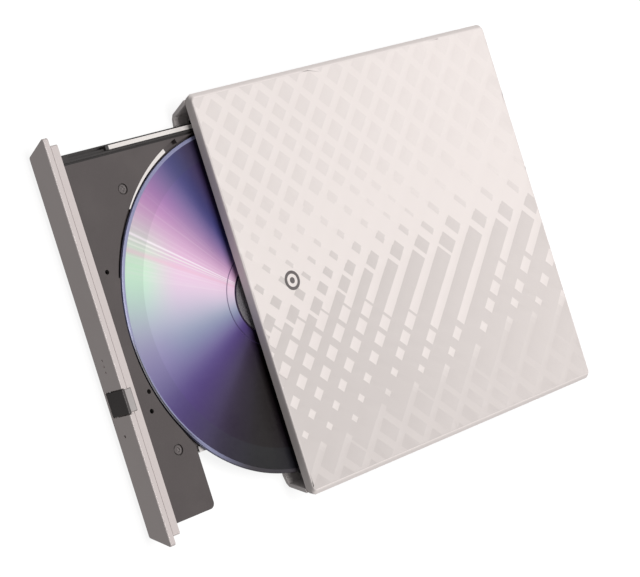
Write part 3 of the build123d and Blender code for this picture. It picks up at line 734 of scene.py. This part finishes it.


# ---- disc ----
# Clear polycarbonate over a metal layer that splits the light into colours round the disc, with a
# clear rim, a clear hub and the stacking ring moulded into it. The split colours, bright rays and
# streaks are painted reflection and highlight in the disc's colour, and its grooves and part of its
# edge carry painted shade.


def painted_rainbow_reflection(centre):
    """Painted reflection: the colours of the split light, turning with the angle about the disc's own axis,
    in two opposite fans.
    """
    grey, worn = (0.5, 0.5, 0.5), (0.55, 0.52, 0.52)
    material = finish("disc_painted_reflection", grey, worn, 0.34, 700, 0.02, 0.12, coat=0.12)
    tree = material.node_tree
    shader = tree.nodes["Principled BSDF"]
    place = tree.nodes.new("ShaderNodeTexCoord").outputs["Object"]
    centred = tree.nodes.new("ShaderNodeMapping")
    centred.inputs["Location"].default_value = (-centre.x, -centre.y, 0)
    tree.links.new(place, centred.inputs["Vector"])
    parts = tree.nodes.new("ShaderNodeSeparateXYZ")
    tree.links.new(centred.outputs[0], parts.inputs[0])
    angle = value_node(tree, "ARCTAN2", parts.outputs["Y"], parts.outputs["X"])
    half_turns = value_node(tree, "MULTIPLY", angle, 1 / math.pi)
    fan = value_node(tree, "FRACT", value_node(tree, "ADD", half_turns, 5 / 180 + 2))
    radius_squared = value_node(
        tree,
        "ADD",
        value_node(tree, "MULTIPLY", parts.outputs["X"], parts.outputs["X"]),
        value_node(tree, "MULTIPLY", parts.outputs["Y"], parts.outputs["Y"]),
    )
    radius = value_node(tree, "SQRT", radius_squared)

    night, violet, indigo = (0.01, 0.006, 0.012), (0.04, 0.025, 0.08), (0.13, 0.10, 0.28)
    pink, pearl = (0.60, 0.36, 0.58), (0.84, 0.62, 0.80)
    mint, haze = (0.60, 0.85, 0.65), (0.40, 0.42, 0.56)

    def fan_ramp(brightest):
        """Painted reflection hues: dark, through violet and pink to the brightest hue, and back through a
        bluish haze.
        """
        hues = (night, violet, indigo, pink, brightest, haze, indigo, violet, night)
        places = (0, 18, 32, 50, 70, 94, 116, 138, 155)
        made = tree.nodes.new("ShaderNodeValToRGB")
        made.color_ramp.interpolation = "CARDINAL"
        elements = made.color_ramp.elements
        while len(elements) < len(hues):
            elements.new(0.5)
        for element, degrees, hue in zip(elements, places, hues):
            element.position = degrees / 180
            element.color = (*hue, 1)
        tree.links.new(fan, made.inputs[0])
        return made.outputs[0]

    inner, outer = fan_ramp(pearl), fan_ramp(mint)
    colour = mix_colour(tree, ramp_value(tree, radius, 36 * mm, 54 * mm), inner, outer)

    def painted_highlight_ray(colour, degrees, half, strength, shade):
        """A narrow painted highlight of another shade, at this place in the fan."""
        off = value_node(tree, "ABSOLUTE", value_node(tree, "SUBTRACT", fan, degrees / 180))
        line = value_node(tree, "MULTIPLY", ramp_value(tree, off, half / 180, 0.0), strength)
        return mix_colour(tree, line, colour, (*shade, 1))

    colour = painted_highlight_ray(colour, 65.3, 1.9, 0.6, (0.86, 0.56, 0.70))
    colour = painted_highlight_ray(colour, 59.5, 0.8, 0.9, (0.95, 0.88, 0.95))
    colour = painted_highlight_ray(colour, 61.3, 0.7, 0.8, (0.90, 0.90, 0.88))
    colour = painted_highlight_ray(colour, 63.0, 0.5, 0.5, (0.88, 0.93, 0.84))
    # painted sheen: fine bright streaks that run out from the centre across part of the fan
    spokes = tree.nodes.new("ShaderNodeCombineXYZ")
    tree.links.new(value_node(tree, "MULTIPLY", fan, 150.0), spokes.inputs[0])
    tree.links.new(value_node(tree, "MULTIPLY", radius, 12.0), spokes.inputs[1])
    painted_sheen_streaks = ramp_value(tree, noise_node(tree, spokes.outputs[0], 1.0, 3.0), 0.45, 0.80)
    rise = ramp_value(tree, fan, 0.22, 0.30)
    fall = ramp_value(tree, fan, 0.46, 0.38)
    painted_sheen_streaks = value_node(tree, "MULTIPLY", painted_sheen_streaks, value_node(tree, "MULTIPLY", rise, fall))

    def tinted(colour, mask, strength, shade):
        """Another shade laid over the disc where the mask is 1."""
        return mix_colour(tree, value_node(tree, "MULTIPLY", mask, strength), colour, (*shade, 1))

    colour = tinted(colour, painted_sheen_streaks, 0.3, (0.92, 0.84, 0.90))
    unwritten = ramp_value(tree, radius, 51.3 * mm, 51.6 * mm)
    colour = tinted(colour, unwritten, 0.12, (0.05, 0.07, 0.08))
    # painted shade: dark rings over the two stacking-ring grooves
    hub_groove_shade = ramp_value(tree, radius, 13.55 * mm, 13.4 * mm)
    colour = tinted(colour, hub_groove_shade, 1.0, (0.022, 0.012, 0.04))
    off_ring = value_node(tree, "ABSOLUTE", value_node(tree, "SUBTRACT", radius, 16.8 * mm))
    fine_groove_shade = ramp_value(tree, off_ring, 0.22 * mm, 0.1 * mm)
    colour = tinted(colour, fine_groove_shade, 0.7, (0.05, 0.03, 0.11))

    # the clear rim: bluish, darkened as painted reflection at the fan's dark end, and darker still with
    # painted shade along part of its edge
    dark_end = ramp_value(tree, fan, 0.74, 0.88)
    rim = mix_colour(tree, dark_end, (0.25, 0.26, 0.42, 1), (0.05, 0.045, 0.055, 1))
    rise = ramp_value(tree, fan, 0.50, 0.56)
    fall = ramp_value(tree, fan, 0.78, 0.70)
    edge = ramp_value(tree, radius, 59.15 * mm, 59.3 * mm)
    edge = value_node(tree, "MULTIPLY", value_node(tree, "MULTIPLY", rise, fall), edge)
    rim = tinted(rim, edge, 1.0, (0.02, 0.02, 0.035))
    colour = mix_colour(tree, ramp_value(tree, radius, 58.75 * mm, 58.85 * mm), colour, rim)
    tree.links.new(colour, shader.inputs["Base Color"])
    return material


disc_low, disc_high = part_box("disc")
disc_centre = (disc_low + disc_high) / 2
bottom, top = disc_low.z / mm, disc_high.z / mm
hole, clear_to, outside = 7.5, 12.75, 60.0
shallow = top - 0.12
disc_bm = turned(
    [
        (hole, top - 0.1), (hole + 0.1, top), (12.7, top), (12.85, shallow), (13.35, shallow),
        (13.5, top), (16.6, top), (16.7, shallow), (17.1, shallow), (17.2, top), (22.0, top),
        (58.5, top), (59.8, top), (59.95, top - 0.06), (outside, top - 0.2),
        (outside, bottom + 0.2), (59.8, bottom), (58.5, bottom), (22.0, bottom), (17.4, bottom),
        (17.2, bottom + 0.1), (16.8, bottom + 0.1), (16.6, bottom), (hole + 0.1, bottom),
        (hole, bottom + 0.1), (hole, top - 0.1),
    ],
    192,
)
mark_sharp(disc_bm, 25)
for face in disc_bm.faces:
    face.material_index = int(face.calc_center_median().xy.length < clear_to * mm)
bmesh.ops.translate(disc_bm, vec=(disc_centre.x, disc_centre.y, 0), verts=disc_bm.verts)
data_disc = link_piece("data_disc", as_mesh(disc_bm, "data_disc"))
data_disc.data.materials.append(painted_rainbow_reflection(disc_centre))
hub_clear = finish("hub_clear", (0.78, 0.74, 0.80), (0.72, 0.68, 0.74), 0.12, 600, 0.05)
hub_shader = hub_clear.node_tree.nodes["Principled BSDF"]
hub_shader.inputs["Transmission Weight"].default_value = 0.75
hub_shader.inputs["IOR"].default_value = 1.58
data_disc.data.materials.append(hub_clear)
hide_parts("disc")
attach(data_disc, "spindle")


# ---- feet ----
# Four round rubber feet, bonded into shallow seats in the bottom cover.

foot_rubber = finish("foot_rubber", (0.045, 0.044, 0.044), (0.085, 0.082, 0.08), 0.72, 1500, 0.7)
dress(foot_rubber, "rubber_feet")


# ---- drive housing, spindle and pickup ----
# Galvanised pans hold the drive. On the tray's underside a pressed frame carries the spindle
# motor, the sled on its two rods and the lead screw that moves it.

housing_zinc = finish(
    "housing_zinc", (0.55, 0.55, 0.54), (0.46, 0.46, 0.455), 0.34, 700, 0.5, 1.0, (0.08, 1, 1)
)
dress(housing_zinc, "lower_housing", "upper_housing", "sled_motor")
frame_pressed = finish(
    "frame_pressed", (0.44, 0.44, 0.44), (0.34, 0.34, 0.34), 0.38, 800, 0.5, 1.0, (1, 0.1, 1)
)
dress(frame_pressed, "traverse_frame", "tray_plate", "motor_base")
rod_ground = finish("rod_ground", (0.74, 0.74, 0.75), (0.60, 0.60, 0.61), 0.16, 1200, 0.3, 1.0)
dress(rod_ground, "guide_rods", "lead_screw", "hub_balls", "latch_post")
hub_turned = finish("hub_turned", (0.68, 0.68, 0.69), (0.55, 0.55, 0.56), 0.24, 1300, 0.4, 1.0)
dress(hub_turned, "rotor")
pad_rubber = finish("pad_rubber", (0.05, 0.055, 0.075), (0.09, 0.095, 0.115), 0.75, 1600, 0.6)
dress(pad_rubber, "turntable_pad", "dampers")
cast_grey = finish("cast_grey", (0.20, 0.20, 0.205), (0.28, 0.28, 0.285), 0.48, 1500, 0.8, 0.9)
dress(cast_grey, "pickup")
wound_copper = finish(
    "wound_copper", (0.50, 0.22, 0.10), (0.36, 0.15, 0.07), 0.36, 2600, 0.9, 0.85, (1, 1, 6)
)
dress(wound_copper, "stator", "latch_solenoid")
acetal = finish("acetal", (0.66, 0.64, 0.58), (0.58, 0.56, 0.50), 0.44, 1600, 0.25)
dress(acetal, "latch_lever", "ejector_rod")
lens_blue = finish("lens_blue", (0.60, 0.66, 0.92), (0.52, 0.56, 0.80), 0.06, 400, 0.02)
lens_blue.node_tree.nodes["Principled BSDF"].inputs["Transmission Weight"].default_value = 0.8
dress(lens_blue, "lens")


# ---- boards, chips and the inlet ----
# Green glass-fibre boards with moulded black chips, and the nickel shell of the USB inlet.

board_green = finish("board_green", (0.03, 0.14, 0.055), (0.045, 0.19, 0.08), 0.34, 1100, 0.4, coat=0.3)
dress(board_green, "bridge_board", "drive_board", "switch_board")
chip_black = finish("chip_black", (0.022, 0.022, 0.024), (0.045, 0.045, 0.048), 0.52, 2200, 0.5)
dress(chip_black, "bridge_chips", "drive_chips")
inlet_nickel = finish("inlet_nickel", (0.66, 0.65, 0.63), (0.54, 0.53, 0.51), 0.20, 900, 0.3, 1.0)
dress(inlet_nickel, "usb_socket")
